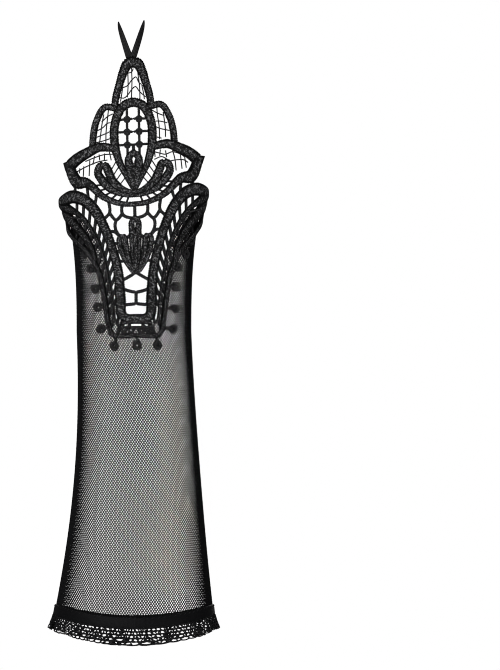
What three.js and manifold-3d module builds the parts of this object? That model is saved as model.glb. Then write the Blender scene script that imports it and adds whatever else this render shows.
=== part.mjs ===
import * as THREE from 'three';
import Module from 'manifold-3d';

// Fingerless evening mitten in millimetres, +Z up toward the fingers, the back of the hand facing -Y.
// A fine net sleeve on an oval arm, a guipure lace motif on the back of the hand, a narrow elastic
// loop for one finger, and an elastic hem band with a gathered lace frill below it.
// The origin is the middle of the hem band's ring.

const wasm = await Module();
wasm.setup();

// The arm and hand that the cloth lies on: full widths and depths at four heights.
const hemWidth = 91.2;
const hemDepth = 70;
const wristWidth = 64.8;
const wristDepth = 45;
const palmWidth = 78.6;
const palmDepth = 43;
const knuckleWidth = 67;
const knuckleDepth = 22;
const wristHeight = 165;
const palmHeight = 243;
const knuckleHeight = 325;
const forearmBow = 2;
const palmForward = 1.5;
const knuckleForward = 3.5;
const taperPower = 2;
const thumbRisePower = 2.7;

// Cloth and seams.
const netWall = 1;
const netRows = 9;
const seamGap = 0.35;
const bandHeight = 6.8;
const bandWall = 1.7;
const bandColumns = 44;
const hemDip = 7.2;

// Gathered frill.
const frillDrop = 9.6;
const frillWall = 1;
const frillPleats = 24;
const pleatColumns = 4;
const frillRows = 2;
const frillFlare = 1.2;
const pleatDepth = 2.3;
const pleatWander = 0.55;
const frillSideLift = 2;

// Lace motif, laid flat: its foot above the origin, its height, and the half span that shares refer to.
const laceFoot = 154.8;
const laceHeight = 170;
const laceSpan = 60;
const cordWidth = 4.6;
const cordHeight = 1.9;
const barWidth = 1.7;
const rungWidth = 1.2;
const barHeight = 1.3;
const cordCrown = 0.76;
const picotRadius = 2.7;
const picotPitch = 11.6;
const picotSides = 6;
const picotStandoff = 1.9;
const stemLean = 0.1;
const knotRadius = 2.3;
const laceClearance = 0.5;
const cordStep = 5.4;
const cordLayers = 3;
const layerStep = 0.16;
const joinSlack = 0.05;

// Finger loop.
const fingerRadius = 6.9;
const fingerAside = 1.3;
const loopRise = 20.4;
const loopWidth = 3.8;
const loopWall = 1;
const loopTuck = 3.4;
const loopColumns = 28;

const columns = (names, rows) =>
  rows.map((row) => Object.fromEntries(names.map((name, index) => [name, row[index]])));

// The arm's oval at a height: half width, half depth and centre, easing from station to station.
function armAt(height) {
  const blend = (low, high, share) => low + (high - low) * share;
  const between = (low, high) => THREE.MathUtils.clamp((height - low) / (high - low), 0, 1);
  const taper = 1 - (1 - between(0, wristHeight)) ** taperPower;
  const thumb = between(wristHeight, palmHeight) ** thumbRisePower;
  const fingers = between(palmHeight, knuckleHeight) ** taperPower;
  const hem = 1 - Math.min(0, height) / wristHeight;
  const eased = (atHem, atWrist, atPalm, atKnuckle) =>
    blend(blend(blend(atHem * hem, atWrist, taper), atPalm, thumb), atKnuckle, fingers);
  const width = eased(hemWidth, wristWidth, palmWidth, knuckleWidth);
  const depth = eased(hemDepth, wristDepth, palmDepth, knuckleDepth);
  return {
    halfWidth: width / 2,
    halfDepth: depth / 2,
    aside: forearmBow * Math.sin(Math.PI * between(0, wristHeight)),
    forward: palmForward * thumb + (knuckleForward - palmForward) * fingers,
  };
}

// A point at an angle round the arm, 0 at the back of the hand, lifted off the skin.
function onArm(angle, height, lift) {
  const arm = armAt(height);
  const outX = arm.halfDepth * Math.sin(angle);
  const outY = -arm.halfWidth * Math.cos(angle);
  const reach = lift / Math.hypot(outX, outY);
  return new THREE.Vector3(
    arm.aside + arm.halfWidth * Math.sin(angle) + outX * reach,
    -arm.forward - arm.halfDepth * Math.cos(angle) + outY * reach,
    height,
  );
}

// How the motif lies on the hand: its shift aside in mm and its slope up to the right, by height share.
const laceLie = columns(['up', 'shift', 'slope'], [
  [0, 1.4, 0],
  [25, 1, 0.02],
  [50, 0.6, 0.07],
  [66, -0.3, 0.07],
  [82, -0.6, 0.06],
  [100, -0.8, 0],
]);

function lieAt(up) {
  const share = THREE.MathUtils.clamp(up / laceHeight, 0, 1) * 100;
  const next = Math.max(1, laceLie.findIndex((row) => row.up >= share));
  const [low, high] = [laceLie[next - 1], laceLie[next]];
  const way = (share - low.up) / (high.up - low.up);
  return {
    shift: low.shift + (high.shift - low.shift) * way,
    slope: low.slope + (high.slope - low.slope) * way,
  };
}

// Angle and height of a point of the flat motif, in mm across from its middle line and up from its foot.
function lay(across, up) {
  const lie = lieAt(up);
  const { halfWidth } = armAt(laceFoot + up);
  const turn = across / halfWidth;
  return {
    angle: turn + (lie.shift / halfWidth) * Math.cos(turn),
    height: laceFoot + up + lie.slope * halfWidth * Math.sin(turn),
  };
}

function meshOf(points, faces) {
  const geometry = new THREE.BufferGeometry();
  geometry.setAttribute('position', new THREE.Float32BufferAttribute(points.flatMap((p) => p.toArray()), 3));
  geometry.setIndex(faces.flat());
  geometry.computeVertexNormals();
  return geometry;
}

// A closed wall round the arm: point(column, row, side) gives its inner (0) and outer (1) corners.
function ringWall(columnCount, rowCount, point) {
  const points = [];
  const faces = [];
  const at = (column, row, side) => ((column % columnCount) * (rowCount + 1) + row) * 2 + side;
  const quad = (a, b, c, d) => faces.push([a, b, c], [a, c, d]);
  for (let column = 0; column < columnCount; column += 1) {
    for (let row = 0; row <= rowCount; row += 1) {
      points.push(point(column, row, 0), point(column, row, 1));
    }
  }
  for (let column = 0; column < columnCount; column += 1) {
    const next = column + 1;
    for (let row = 0; row < rowCount; row += 1) {
      quad(at(column, row, 1), at(next, row, 1), at(next, row + 1, 1), at(column, row + 1, 1));
      quad(at(next, row, 0), at(column, row, 0), at(column, row + 1, 0), at(next, row + 1, 0));
    }
    quad(at(column, 0, 0), at(next, 0, 0), at(next, 0, 1), at(column, 0, 1));
    quad(at(column, rowCount, 1), at(next, rowCount, 1), at(next, rowCount, 0), at(column, rowCount, 0));
  }
  return meshOf(points, faces);
}

// Height of the hem band's middle line, dipping at the front and the back alike.
const hemLine = (angle) => hemDip * (0.5 - Math.cos(angle) ** 2);

// Lace cords in percent: across of the span, up of the motif's height, width of the cord width.
// Each is the right half, mirrored to the left.
const cordColumns = ['across', 'up', 'width'];
const lace = {
  arch: columns(cordColumns, [[0, 98.4, 122], [9, 95.2, 100], [15.4, 88.5, 82], [17.5, 81.5, 80]]),
  oval: columns(cordColumns, [
    [0, 84, 105], [10, 82.5, 105], [17, 77, 100], [17.5, 70, 100],
    [13.5, 64, 84], [6.5, 58.5, 62], [1, 54.5, 50],
  ]),
  bud: columns(cordColumns, [[0, 66.3, 78], [4.4, 64.8, 80], [3.6, 61.5, 96], [2.2, 58, 66], [0.4, 53.8, 44]]),
  shoulder: columns(cordColumns, [
    [14, 82, 80], [28, 83, 82], [38, 78.5, 90], [41.5, 73.5, 90], [42.5, 68.5, 90],
  ]),
  leaf: columns(cordColumns, [
    [17, 68.8, 92], [36, 69.4, 112], [57, 67.2, 126], [78, 62.6, 130], [69, 58.7, 122], [53, 57.6, 114],
    [43, 57, 108], [28, 53.4, 92], [11, 50.2, 68], [0, 49.7, 62],
  ]),
  hornInside: columns(cordColumns, [
    [0, 53.3, 52], [9, 54, 56], [20, 57.2, 92], [24.5, 60.6, 86], [26.5, 62.8, 84], [30.5, 63.2, 84],
  ]),
  hornOutside: columns(cordColumns, [
    [28.5, 63.3, 84], [33.6, 62.6, 84], [35, 60.3, 90], [29.5, 57.2, 94],
    [21.5, 54.8, 78], [9, 52.9, 52], [0, 52.4, 46],
  ]),
  shield: columns(cordColumns, [
    [99, 50.8, 120], [84, 52.2, 146], [67, 53.2, 150], [51, 51.7, 146], [40, 48.2, 140], [30, 41.8, 130],
    [22, 33.8, 122], [17, 26.5, 122], [14.3, 17, 126], [13.6, 12, 118], [9, 10.6, 106], [0, 10.5, 100],
  ]),
  border: columns(cordColumns, [
    [104, 51, 86], [104, 47.6, 80], [98, 43.2, 72], [75, 39.6, 70], [49, 33.4, 72], [36.5, 26.6, 76],
    [30.5, 17.6, 70], [26.4, 8.6, 66], [21.5, 5, 60], [0, 4.8, 54],
  ]),
  edge: columns(cordColumns, [
    [76, 46.4, 32], [56, 45.2, 32], [42, 41, 32], [32, 33.8, 32], [26.5, 25.5, 32],
    [22.5, 17, 32], [20, 9.8, 32], [15, 7.9, 30], [0, 7.5, 30],
  ]),
  middleBud: columns(cordColumns, [[0, 44.6, 74], [3, 43, 76], [3, 39.5, 80], [2.2, 33, 62], [0.2, 26, 44]]),
  sideBudInside: columns(cordColumns, [
    [11, 38.9, 64], [8, 37.2, 64], [7.4, 35, 64], [4.6, 30.2, 52], [0.6, 26.1, 42],
  ]),
  sideBudOutside: columns(cordColumns, [
    [11, 38.9, 64], [15, 37.5, 66], [14.2, 35.2, 68], [8.4, 30.6, 58], [1, 26.1, 42],
  ]),
};

// Thin bars that tie the cords together, on the same shares.
const barColumns = ['across', 'up'];
const bars = {
  ovalUpright: columns(barColumns, [[5.6, 83], [5.6, 65.4]]),
  ovalTop: columns(barColumns, [[0, 78.4], [16.5, 78.2]]),
  ovalMiddle: columns(barColumns, [[0, 74], [17.4, 74]]),
  ovalFoot: columns(barColumns, [[0, 69.6], [17.4, 69.6]]),
  budNeck: columns(barColumns, [[0, 70], [0, 66]]),
  festoonMiddle: columns(barColumns, [[0, 50], [0, 44.6]]),
  festoonInner: columns(barColumns, [[12, 50], [11.7, 46.4], [8.7, 45.3], [2, 44.6]]),
  festoonSwag: columns(barColumns, [[11.7, 46.4], [14.5, 45.1], [17.6, 44.3], [20.5, 45.1], [24, 47]]),
  festoonOuter: columns(barColumns, [[25, 51.5], [24, 47], [29, 45.1], [34.5, 43.4]]),
  festoonDrop: columns(barColumns, [[17.6, 44.3], [18.8, 42.6], [18, 40.8], [14.5, 38.6]]),
  festoonTie: columns(barColumns, [[29, 40.2], [19.6, 40.3], [14.5, 38.6]]),
  budTie: columns(barColumns, [[3, 39.6], [8.5, 37.6]]),
  shieldTie: columns(barColumns, [[18.5, 29.6], [8, 30.4]]),
  hexagonTop: columns(barColumns, [[15, 23], [5, 25], [0, 26.2]]),
  hexagonFoot: columns(barColumns, [[14.5, 20.9], [5, 19.7], [0, 19.4]]),
  footUpright: columns(barColumns, [[0, 19.6], [0, 15.3]]),
  footRail: columns(barColumns, [[14, 15], [5, 15.3], [0, 15.5]]),
  wingTie: columns(barColumns, [[48, 57], [46.4, 52.6]]),
  arcTie: columns(barColumns, [[35.5, 55.2], [40.5, 48.8]]),
  leafTie: columns(barColumns, [[64, 58.4], [63.8, 53.6]]),
};

// Heights, in percent, of the knots where the oval's bars cross.
const ovalKnots = [78.3, 74, 69.6];

// Ladders: thin rungs between two cords, each cord's stretch given as shares of its own length.
const ladders = columns(['from', 'fromStart', 'fromEnd', 'to', 'toStart', 'toEnd', 'rungs'], [
  ['oval', 0.58, 0.92, 'hornInside', 0.86, 0.26, 4],
  ['hornOutside', 0.36, 1, 'leaf', 0.62, 1, 6],
  ['shield', 0.16, 0.86, 'edge', 0.02, 0.83, 11],
  ['edge', 0.04, 0.98, 'border', 0.24, 0.96, 11],
  ['shield', 0.86, 1, 'edge', 0.84, 1, 2],
]);

// A cord as a smooth curve whose third coordinate is its width. Rows that reach the middle line run on
// through it to the mirrored side, as one curve from left to right; other rows give one curve a side.
function cordCurves(rows) {
  const knots = (side) => rows.map((row) => new THREE.Vector3(
    (side * row.across * laceSpan) / 100,
    (row.up * laceHeight) / 100,
    (row.width * cordWidth) / 100,
  ));
  const curve = (path) => new THREE.CatmullRomCurve3(path, false, 'centripetal');
  if (rows[0].across === 0) {
    const whole = curve([...knots(-1).reverse(), ...knots(1).slice(1)]);
    return { solids: [whole], at: (side, share) => whole.getPointAt((1 + side * share) / 2) };
  }
  if (rows.at(-1).across === 0) {
    const whole = curve([...knots(-1), ...knots(1).reverse().slice(1)]);
    return { solids: [whole], at: (side, share) => whole.getPointAt((1 + side * (1 - share)) / 2) };
  }
  const halves = { '-1': curve(knots(-1)), 1: curve(knots(1)) };
  return { solids: Object.values(halves), at: (side, share) => halves[side].getPointAt(share) };
}

// A closed prism laid along points of the flat motif, with a flat base. A crown is the top's share of
// the base's width, and a crown of 0 makes a three-sided thread.
function prismAlong(path, base, height, crown) {
  const laid = path.map((p) => lay(p.x, p.y));
  const corners = laid.flatMap(({ angle, height: level }, index) => {
    const low = onArm(angle, level, base);
    const high = onArm(angle, level, base + height);
    const before = laid[Math.max(0, index - 1)];
    const after = laid[Math.min(laid.length - 1, index + 1)];
    const along = onArm(after.angle, after.height, base).sub(onArm(before.angle, before.height, base));
    const out = high.clone().sub(low).normalize();
    const aside = along.cross(out).normalize().multiplyScalar(path[index].z / 2);
    const top = crown > 0
      ? [high.clone().addScaledVector(aside, crown), high.clone().addScaledVector(aside, -crown)]
      : [high];
    return [low.clone().add(aside), ...top, low.clone().sub(aside)];
  });
  const around = crown > 0 ? 4 : 3;
  const faces = [];
  const last = (laid.length - 1) * around;
  for (let ring = 0; ring < last; ring += around) {
    for (let edge = 0; edge < around; edge += 1) {
      const next = (edge + 1) % around;
      const [here, beside] = [ring + edge, ring + next];
      faces.push([here, here + around, beside + around], [here, beside + around, beside]);
    }
  }
  for (let corner = 2; corner < around; corner += 1) {
    faces.push([0, corner - 1, corner], [last, last + corner, last + corner - 1]);
  }
  return solidOf(corners, faces);
}

// A flat round knob on the motif with its middle at a point across and up.
function knobAt(across, up, radius, base, height) {
  const { angle, height: level } = lay(across, up);
  const low = onArm(angle, level, base);
  const high = onArm(angle, level, base + height);
  const out = high.clone().sub(low).normalize();
  const aside = new THREE.Vector3(0, 0, 1).cross(out).normalize();
  const upward = out.clone().cross(aside);
  const corners = [low, high];
  const faces = [];
  for (let side = 0; side < picotSides; side += 1) {
    const turn = (2 * Math.PI * side) / picotSides;
    const spoke = aside.clone().multiplyScalar(Math.cos(turn)).addScaledVector(upward, Math.sin(turn));
    corners.push(low.clone().addScaledVector(spoke, radius), high.clone().addScaledVector(spoke, radius * cordCrown));
    const here = 2 + side * 2;
    const next = 2 + ((side + 1) % picotSides) * 2;
    faces.push([0, next, here], [1, here + 1, next + 1], [here, next, next + 1], [here, next + 1, here + 1]);
  }
  return solidOf(corners, faces);
}

function solidOf(points, faces) {
  const mesh = new wasm.Mesh({
    numProp: 3,
    vertProperties: new Float32Array(points.flatMap((p) => p.toArray())),
    triVerts: new Uint32Array(faces.flat()),
  });
  return new wasm.Manifold(mesh);
}

function geometryOf(solid) {
  const { vertProperties, triVerts } = solid.getMesh();
  const geometry = new THREE.BufferGeometry();
  geometry.setAttribute('position', new THREE.Float32BufferAttribute(Array.from(vertProperties), 3));
  geometry.setIndex(Array.from(triVerts));
  geometry.computeVertexNormals();
  return geometry;
}

function netSleeve() {
  const sideAcross = (armAt(laceFoot + laceHeight / 2).halfWidth * Math.PI) / 2;
  const edge = lace.edge.map((row) => ({
    across: (row.across * laceSpan) / 100,
    up: (row.up * laceHeight) / 100,
  })).reverse();
  const corner = (index, side, behind) => {
    const spot = edge[index];
    const { angle, height } = spot ? lay(side * spot.across, spot.up)
      : { angle: (side * Math.PI) / 2, height: lay(side * sideAcross, edge.at(-1).up).height };
    return { angle: behind ? side * Math.PI - angle : angle, height };
  };
  const front = edge.map((spot, index) => index);
  const sides = edge.length;
  const top = [
    ...front.map((index) => corner(index, 1, false)),
    corner(sides, 1, false),
    ...front.slice(1).reverse().map((index) => corner(index, 1, true)),
    corner(0, 1, true),
    ...front.slice(1).map((index) => corner(index, -1, true)),
    corner(sides, -1, false),
    ...front.slice(1).reverse().map((index) => corner(index, -1, false)),
  ];
  return ringWall(top.length, netRows, (column, row, side) => {
    const { angle, height } = top[column];
    const low = hemLine(angle) + bandHeight / 2 + seamGap;
    return onArm(angle, low + ((height - low) * row) / netRows, side * netWall);
  });
}

function elasticBand() {
  return ringWall(bandColumns, 1, (column, row, side) => {
    const angle = (2 * Math.PI * column) / bandColumns;
    return onArm(angle, hemLine(angle) + bandHeight * (row - 0.5), side * bandWall);
  });
}

function laceFrill() {
  const columnCount = frillPleats * pleatColumns;
  return ringWall(columnCount, frillRows, (column, row, side) => {
    const angle = (2 * Math.PI * column) / columnCount;
    const fall = 1 - row / frillRows;
    const pleat = 0.5 + 0.5 * Math.sin(frillPleats * angle + pleatWander * Math.sin(3 * angle));
    const lift = fall * (frillFlare + pleatDepth * pleat) + side * frillWall;
    const drop = frillDrop - frillSideLift * Math.sin(angle) ** 2;
    const top = hemLine(angle) - bandHeight / 2 - seamGap;
    return onArm(angle, top - drop * fall, lift);
  });
}

function laceMotif() {
  const base = netWall + laceClearance;
  const barBase = base + (cordHeight - barHeight) / 2;
  const solids = [];
  const cords = {};
  for (const [name, rows] of Object.entries(lace)) {
    const layer = (Object.keys(cords).length % cordLayers) * layerStep;
    cords[name] = cordCurves(rows);
    for (const curve of cords[name].solids) {
      const steps = Math.max(2, Math.round(curve.getLength() / cordStep));
      solids.push(prismAlong(curve.getSpacedPoints(steps), base + layer, cordHeight, cordCrown));
    }
  }
  const addBar = (path, width) => {
    solids.push(prismAlong(path.map((spot) => spot.setZ(width)), barBase, barHeight, 0));
  };
  for (const side of [-1, 1]) {
    const spotOf = (row) => new THREE.Vector3((side * row.across * laceSpan) / 100, (row.up * laceHeight) / 100, 0);
    for (const rows of Object.values(bars)) addBar(rows.map(spotOf), barWidth);
    for (const ladder of ladders) {
      for (let rung = 1; rung <= ladder.rungs; rung += 1) {
        const way = rung / (ladder.rungs + 1);
        addBar([
          cords[ladder.from].at(side, THREE.MathUtils.lerp(ladder.fromStart, ladder.fromEnd, way)),
          cords[ladder.to].at(side, THREE.MathUtils.lerp(ladder.toStart, ladder.toEnd, way)),
        ], rungWidth);
      }
    }
    const picots = Math.round(cords.border.solids[0].getLength() / 2 / picotPitch);
    for (let picot = 1; picot <= picots; picot += 1) {
      const spot = cords.border.at(side, picot / picots);
      const before = cords.border.at(side, (picot - stemLean) / picots);
      const reach = spot.z / 2 + picotStandoff;
      const along = spot.clone().sub(before).setZ(0).normalize().multiplyScalar(side * reach);
      if (picot < picots || side > 0) {
        solids.push(knobAt(spot.x - along.y, spot.y + along.x, picotRadius, barBase, barHeight));
      }
    }
    for (const level of ovalKnots) {
      const across = (side * bars.ovalUpright[0].across * laceSpan) / 100;
      solids.push(knobAt(across, (level * laceHeight) / 100, knotRadius, barBase, barHeight));
    }
  }
  return geometryOf(solids.reduce((whole, solid) => whole.add(solid)).asOriginal().simplify(joinSlack));
}

// A flat strap in a loop: it rises in a V from the motif's point to both sides of the finger and
// falls again behind it.
function fingerLoop() {
  const foot = laceFoot + laceHeight - loopTuck;
  const apex = armAt(laceFoot + laceHeight);
  const front = apex.forward + apex.halfDepth + netWall + laceClearance - seamGap;
  const fingerForward = front - loopWall - fingerRadius;
  const pathAt = (column, lift) => {
    const angle = (2 * Math.PI * column) / loopColumns;
    const radius = fingerRadius + lift;
    return new THREE.Vector3(
      -fingerAside + radius * Math.sin(angle),
      -fingerForward - radius * Math.cos(angle),
      foot + loopRise * Math.abs(Math.sin(angle)),
    );
  };
  return ringWall(loopColumns, 1, (column, row, side) => {
    const here = pathAt(column, side * loopWall);
    const along = pathAt(column + 1, 0).sub(pathAt(column - 1, 0)).normalize();
    const angle = (2 * Math.PI * column) / loopColumns;
    const out = new THREE.Vector3(Math.sin(angle), -Math.cos(angle), 0);
    return here.addScaledVector(out.cross(along).normalize(), loopWidth * (row - 0.5));
  });
}

const mitten = new THREE.Group();

function addPiece(name, geometry, color, roughness) {
  const mesh = new THREE.Mesh(geometry, new THREE.MeshStandardMaterial({ color, roughness, metalness: 0 }));
  mesh.name = name;
  mitten.add(mesh);
}

addPiece('net_sleeve', netSleeve(), 0x101012, 0.8);
addPiece('elastic_band', elasticBand(), 0x121215, 0.35);
addPiece('lace_frill', laceFrill(), 0x0e0e10, 0.7);
addPiece('lace_motif', laceMotif(), 0x0c0c0e, 0.55);
addPiece('finger_loop', fingerLoop(), 0x0e0e10, 0.5);

export default mitten;
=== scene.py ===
import math

import bpy
import numpy as np
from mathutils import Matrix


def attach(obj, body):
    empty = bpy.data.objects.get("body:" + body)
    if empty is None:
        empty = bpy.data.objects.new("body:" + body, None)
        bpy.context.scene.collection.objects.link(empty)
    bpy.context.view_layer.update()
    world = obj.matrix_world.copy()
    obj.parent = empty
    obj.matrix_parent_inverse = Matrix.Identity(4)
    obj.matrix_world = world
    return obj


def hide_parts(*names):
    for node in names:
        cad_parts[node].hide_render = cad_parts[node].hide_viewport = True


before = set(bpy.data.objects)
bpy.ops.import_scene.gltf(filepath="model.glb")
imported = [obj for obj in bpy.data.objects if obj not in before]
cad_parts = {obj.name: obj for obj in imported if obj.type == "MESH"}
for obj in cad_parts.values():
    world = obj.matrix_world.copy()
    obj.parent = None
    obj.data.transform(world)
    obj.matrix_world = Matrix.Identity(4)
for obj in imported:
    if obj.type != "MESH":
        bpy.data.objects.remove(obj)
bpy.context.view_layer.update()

# Fingerless evening mitten. Lengths are in millimetres until a mesh is made, +Z toward the fingers,
# the back of the hand facing -Y, the origin in the middle of the hem band's ring.
MM = 0.001

# The camera stands level with the middle of the view, a long way off.
CAMERA = np.array([67.3, -8000.0, 163.0])
VIEW_HEIGHT = 388.6
SENSOR = 36.0

# The arm's oval at the hem, the wrist, the palm and the knuckles.
HEM_WIDTH, HEM_DEPTH = 91.2, 70.0
WRIST_WIDTH, WRIST_DEPTH = 64.8, 45.0
PALM_WIDTH, PALM_DEPTH = 78.6, 43.0
KNUCKLE_WIDTH, KNUCKLE_DEPTH = 67.0, 22.0
WRIST_HEIGHT, PALM_HEIGHT, KNUCKLE_HEIGHT = 165.0, 243.0, 325.0
FOREARM_BOW, PALM_FORWARD, KNUCKLE_FORWARD, THUMB_GROWTH = 2.0, 1.5, 3.5, 2.7

BAND_HEIGHT, HEM_DIP = 6.8, 7.2

# The lace. LACE_SPAN goes from its middle line to a wing's end, along the hand. LACE_LIFT is from the arm
# to the underside of the cords, which lie on three levels, and LACE_FACE to where the picots and the
# petals' threads are seen.
LACE_FOOT, LACE_HEIGHT, LACE_SPAN = 154.8, 170.0, 60.0
LACE_LIFT, LACE_FACE = 1.5, 2.2
CORD_WIDTH, CORD_HEIGHT, CORD_LEVELS = 4.6, 1.9, 0.16


def stand_camera():
    """A level camera with a long lens, its frame's long side as tall as the view."""
    data = bpy.data.cameras.new("portrait_lens")
    data.sensor_width = SENSOR
    data.lens = SENSOR * -CAMERA[1] / VIEW_HEIGHT
    data.clip_start, data.clip_end = 0.1, 60.0
    camera = bpy.data.objects.new("portrait_camera", data)
    camera.location = tuple(CAMERA * MM)
    camera.rotation_euler = (math.pi / 2, 0, 0)
    bpy.context.collection.objects.link(camera)
    bpy.context.scene.camera = camera


stand_camera()


def ease(low, high, height):
    """Share of the way from low to high, held at 0 below and at 1 above."""
    return np.clip((height - low) / (high - low), 0, 1)


def arm_at(height):
    """Half width, half depth, shift aside and shift forward of the arm's oval at a height."""
    height = np.asarray(height, float)
    taper = 1 - (1 - ease(0, WRIST_HEIGHT, height)) ** 2
    thumb = ease(WRIST_HEIGHT, PALM_HEIGHT, height) ** THUMB_GROWTH
    fingers = ease(PALM_HEIGHT, KNUCKLE_HEIGHT, height) ** 2
    hem = 1 - np.minimum(0, height) / WRIST_HEIGHT

    def eased(at_hem, at_wrist, at_palm, at_knuckle):
        low = at_hem * hem + (at_wrist - at_hem * hem) * taper
        middle = low + (at_palm - low) * thumb
        return (middle + (at_knuckle - middle) * fingers) / 2

    half_width = eased(HEM_WIDTH, WRIST_WIDTH, PALM_WIDTH, KNUCKLE_WIDTH)
    half_depth = eased(HEM_DEPTH, WRIST_DEPTH, PALM_DEPTH, KNUCKLE_DEPTH)
    aside = FOREARM_BOW * np.sin(np.pi * ease(0, WRIST_HEIGHT, height))
    forward = PALM_FORWARD * thumb + (KNUCKLE_FORWARD - PALM_FORWARD) * fingers
    return half_width, half_depth, aside, forward


def unit(vectors):
    """Each vector divided by its length."""
    return vectors / np.maximum(np.linalg.norm(vectors, axis=-1, keepdims=True), 1e-9)


def on_arm(angle, height, lift):
    """Points on the arm's oval at an angle round it, 0 at the back of the hand, moved out along the
    oval's normal by lift, and those normals."""
    angle, height, lift = np.broadcast_arrays(*(np.asarray(x, float) for x in (angle, height, lift)))
    half_width, half_depth, aside, forward = arm_at(height)
    sine, cosine = np.sin(angle), np.cos(angle)
    out = unit(np.stack([half_depth * sine, -half_width * cosine, np.zeros_like(sine)], -1))
    skin = np.stack([aside + half_width * sine, -forward - half_depth * cosine, height], -1)
    return skin + out * lift[..., None], out


def hem_line(angle):
    """Height of the hem band's middle line, dipping at the front and the back alike."""
    return HEM_DIP * (0.5 - np.cos(angle) ** 2)


# How the motif lies on the hand. Columns: height in percent of the motif's, shift aside in mm, and slope
# up to the right.
LACE_LIE = np.array([
    [0, 1.5, 0], [25, 1.3, 0.02], [50, 0.6, 0.075], [60, 0.3, 0.05], [66, 0, 0.055], [82, -0.5, 0.06],
    [100, -0.5, 0],
])


def lay(across, up):
    """Angle and height of points of the flat motif, in mm across its middle line and up from its foot."""
    share = np.clip(up / LACE_HEIGHT, 0, 1) * 100
    shift = np.interp(share, LACE_LIE[:, 0], LACE_LIE[:, 1])
    slope = np.interp(share, LACE_LIE[:, 0], LACE_LIE[:, 2])
    half_width = arm_at(LACE_FOOT + up)[0]
    turn = across / half_width
    return turn + shift / half_width * np.cos(turn), LACE_FOOT + up + slope * half_width * np.sin(turn)


def new_piece(name, shape, finish, stands_for=None, smooth=True):
    """A mesh object at the origin. Its shape is points in mm, face arrays of three or four corners each,
    and lie, which the finish reads at each point: mm along, share round, and a chance number. The piece
    takes the place of the CAD node that it stands for."""
    points, faces, lie = shape
    mesh = bpy.data.meshes.new(name)
    mesh.vertices.add(len(points))
    mesh.vertices.foreach_set("co", (np.asarray(points) * MM).astype(np.float32).ravel())
    corners = np.concatenate([f.ravel() for f in faces]).astype(np.int32)
    counts = np.concatenate([np.full(len(f), f.shape[1]) for f in faces])
    starts = np.concatenate([[0], np.cumsum(counts)[:-1]]).astype(np.int32)
    mesh.loops.add(len(corners))
    mesh.loops.foreach_set("vertex_index", corners)
    mesh.polygons.add(len(counts))
    mesh.polygons.foreach_set("loop_start", starts)
    mesh.update(calc_edges=True)
    mesh.validate()
    mesh.polygons.foreach_set("use_smooth", np.full(len(mesh.polygons), smooth))
    lies = mesh.attributes.new("lie", "FLOAT_VECTOR", "POINT")
    lies.data.foreach_set("vector", np.asarray(lie, np.float32).ravel())
    mesh.materials.append(finish)
    made = bpy.data.objects.new(name, mesh)
    bpy.context.collection.objects.link(made)
    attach(made, "root")
    if stands_for:
        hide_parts(stands_for)
    return made


def joined(parts):
    """Points, faces and lie of several shapes as one, the face numbers moved on past the points before."""
    points, lie, faces, start = [], [], {3: [], 4: []}, 0
    for part_points, part_faces, part_lie in parts:
        points.append(part_points)
        lie.append(part_lie)
        for group in part_faces:
            faces[group.shape[1]].append(group + start)
        start += len(part_points)
    return np.concatenate(points), [np.concatenate(g) for g in faces.values() if g], np.concatenate(lie)


def tube_faces(count, sides, closed=False, turned=False):
    """Faces of rings of points carried along a path: a strip of quads from ring to ring, and a fan
    over each open end. turned is for rings that run the other way round."""
    ring = np.arange(count if closed else count - 1)[:, None] * sides
    after = (ring + sides) % (count * sides)
    here = np.arange(sides)[None, :]
    beside = (here + 1) % sides
    corners = [ring + here, after + here, after + beside, ring + beside]
    if turned:
        corners = [corners[0], *corners[:0:-1]]
    quads = np.stack(corners, -1).reshape(-1, 4)
    if closed:
        return [quads]
    fan = np.arange(1, sides - 1)
    last = (count - 1) * sides
    start_cap = np.stack([np.zeros_like(fan), fan, fan + 1], -1)
    end_cap = np.stack([np.full_like(fan, last), last + fan + 1, last + fan], -1)
    return [quads, np.concatenate([start_cap, end_cap])]


def round_section(sides):
    """Cosine and sine of equal steps round a section."""
    turn = 2 * np.pi * np.arange(sides) / sides
    return np.cos(turn), np.sin(turn)


def squared(value, power):
    """A cosine or sine to a power, its sign kept: below 1 it makes an oval section boxy."""
    return np.sign(value) * np.abs(value) ** power


def smooth_curve(rows, steps=24):
    """Centripetal Catmull-Rom curve through rows, with steps points between each two of them."""
    rows = np.asarray(rows, float)
    held = np.vstack([2 * rows[0] - rows[1], rows, 2 * rows[-1] - rows[-2]])
    gap = np.linalg.norm(np.diff(held, axis=0), axis=1) ** 0.5
    spans = len(rows) - 1
    before, between, after = (gap[i:spans + i][:, None, None] for i in range(3))
    a, b, c, d = (held[i:spans + i][:, None, :] for i in range(4))
    leave = between * ((b - a) / before - (c - a) / (before + between) + (c - b) / between)
    arrive = between * ((c - b) / between - (d - b) / (between + after) + (d - c) / after)
    t = np.linspace(0, 1, steps, endpoint=False)[None, :, None]
    bend = b + leave * t + (3 * (c - b) - 2 * leave - arrive) * t**2 + (2 * (b - c) + leave + arrive) * t**3
    return np.vstack([bend.reshape(-1, rows.shape[1]), rows[-1]])


def length_along(curve):
    """Running length of a line of points."""
    return np.concatenate([[0], np.cumsum(np.linalg.norm(np.diff(curve, axis=0), axis=1))])


def at_share(curve, share):
    """Points at shares of a curve's length."""
    run = length_along(curve)
    return np.stack([np.interp(np.asarray(share) * run[-1], run, column) for column in curve.T], -1)


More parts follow.
